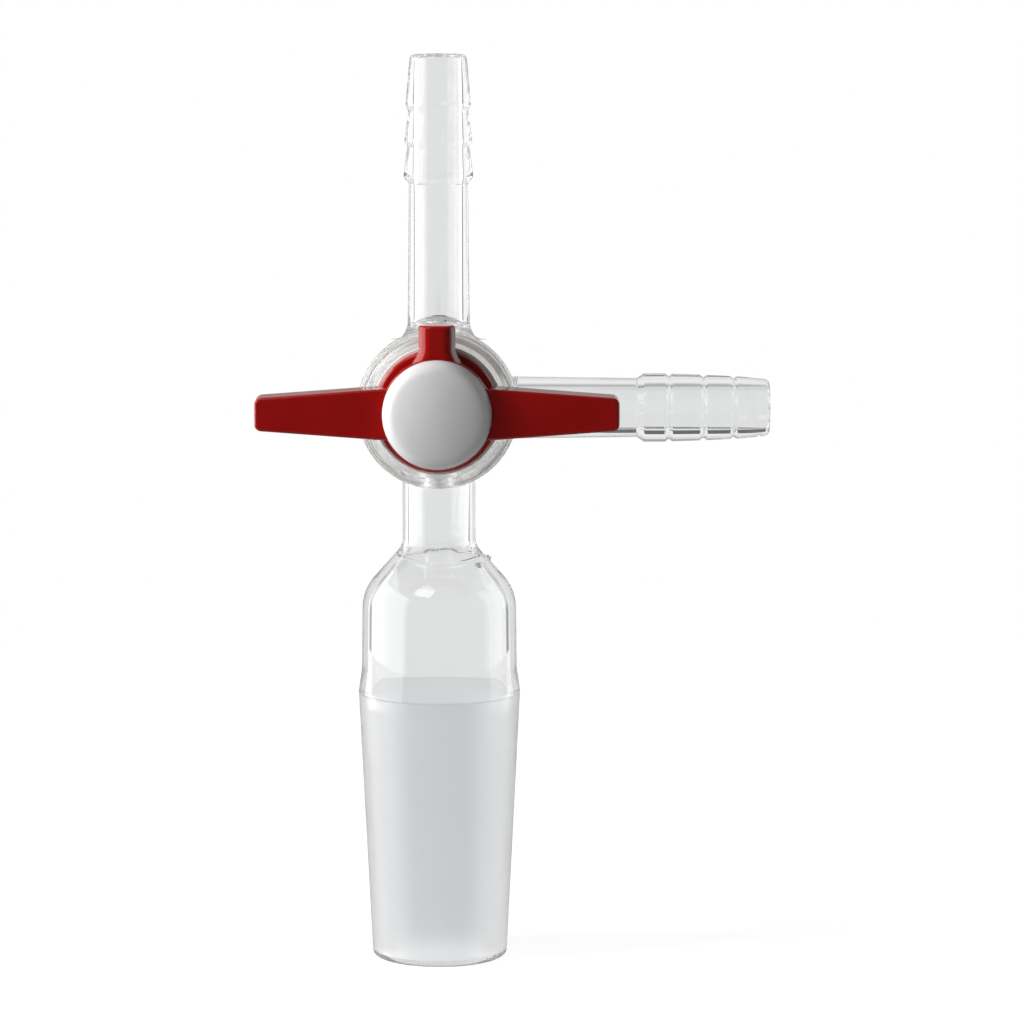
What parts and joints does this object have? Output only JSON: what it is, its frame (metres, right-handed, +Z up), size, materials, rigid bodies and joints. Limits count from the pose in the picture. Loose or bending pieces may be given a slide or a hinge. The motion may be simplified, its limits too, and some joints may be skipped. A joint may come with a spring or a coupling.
{
  "type": "glass stopcock",
  "caption": "Three-way glass stopcock with a ground taper cone, an upright and a sideways barbed hose arm, and a tee-bored key turned by a winged handle.",
  "frame": {"origin": "centre of the ground line, the widest section of the ground cone, on the cone's axis", "axes": "+Z up the cone's axis towards the upright hose arm, +X along the side hose arm, +Y along the key's axis from its handle to its nut"},
  "size_m": [0.0751, 0.0551, 0.1343],
  "materials": {
    "clear_glass": "clear fire-polished glass, with the cone ground to an even frost",
    "white_ptfe": "waxy machined white",
    "red_plastic": "moulded, satin to gloss",
    "white_plastic": "moulded, fine satin",
    "black_rubber": "smooth black rubber"
  },
  "bodies": {
    "glass": {"glass_body": "clear_glass"},
    "turning_key": {"key": "white_ptfe", "handle": "red_plastic", "cap": "white_plastic", "washer": "white_ptfe", "seal_ring": "black_rubber", "retaining_nut": "red_plastic"}
  },
  "joints": [
    {"name": "key_turn", "type": "hinge", "parent": "glass", "child": "turning_key", "pos_m": [0, 0, 0.0433], "axis": [0, -1, 0], "continuous": true}
  ]
}
